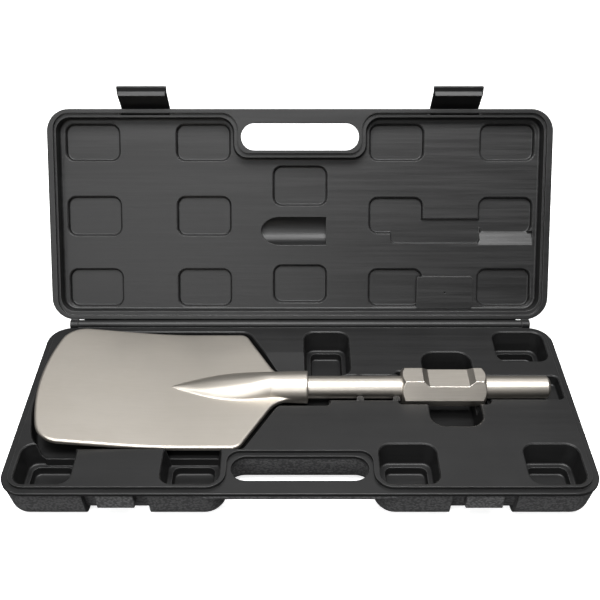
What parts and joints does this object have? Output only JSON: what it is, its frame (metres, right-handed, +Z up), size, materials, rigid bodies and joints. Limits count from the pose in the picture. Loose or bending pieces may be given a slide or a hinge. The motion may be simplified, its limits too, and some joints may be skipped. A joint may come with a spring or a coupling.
{
  "type": "clay spade bit in carry case",
  "caption": "Clay spade chisel bit for a demolition hammer, with a wide blade, socket and hex shank, lying in an open fitted black plastic carry case.",
  "frame": {"origin": "centre of the case's flat bottom, on its underside", "axes": "X runs along the bit, blade at -X and shank at +X; +Y from the handle towards the hinge; +Z up"},
  "size_m": [0.454, 0.3172, 0.2224],
  "materials": {
    "base_outer_shell": "moulded, satin inside and pebble-grained outside",
    "base_inner_tray": "moulded, satin inside and pebble-grained outside",
    "lid_outer_shell": "moulded, satin inside and pebble-grained outside",
    "lid_inner_panel": "moulded, satin inside and pebble-grained outside",
    "latch_left": "moulded, satin inside and pebble-grained outside",
    "latch_right": "moulded, satin inside and pebble-grained outside",
    "spade_blade": "shot-blasted satin nickel",
    "hex_shank": "shot-blasted satin nickel",
    "hinge_pin_left": "bright drawn wire",
    "hinge_pin_right": "bright drawn wire",
    "latch_pin_left": "bright drawn wire",
    "latch_pin_right": "bright drawn wire"
  },
  "bodies": {
    "base": {"base_outer_shell": "base_outer_shell", "base_inner_tray": "base_inner_tray", "hinge_pin_left": "hinge_pin_left", "hinge_pin_right": "hinge_pin_right"},
    "lid": {"lid_outer_shell": "lid_outer_shell", "lid_inner_panel": "lid_inner_panel", "latch_pin_left": "latch_pin_left", "latch_pin_right": "latch_pin_right"},
    "latch_left": {"latch_left": "latch_left"},
    "latch_right": {"latch_right": "latch_right"},
    "bit": {"spade_blade": "spade_blade", "hex_shank": "hex_shank"}
  },
  "joints": [
    {"name": "lid_hinge", "type": "hinge", "parent": "base", "child": "lid", "pos_m": [0, 0.0995, 0.035], "axis": [1, 0, 0], "range_deg": [0, 122]},
    {"name": "latch_left_hinge", "type": "hinge", "parent": "lid", "child": "latch_left", "pos_m": [-0.139, 0.20611, 0.19467], "axis": [-1, 0, 0], "range_deg": [-30, 60]},
    {"name": "latch_right_hinge", "type": "hinge", "parent": "lid", "child": "latch_right", "pos_m": [0.139, 0.20611, 0.19467], "axis": [-1, 0, 0], "range_deg": [-30, 60]},
    {"name": "bit_lift", "type": "slide", "parent": "base", "child": "bit", "axis": [0, 0, 1], "range_m": [0, 0.2]}
  ]
}
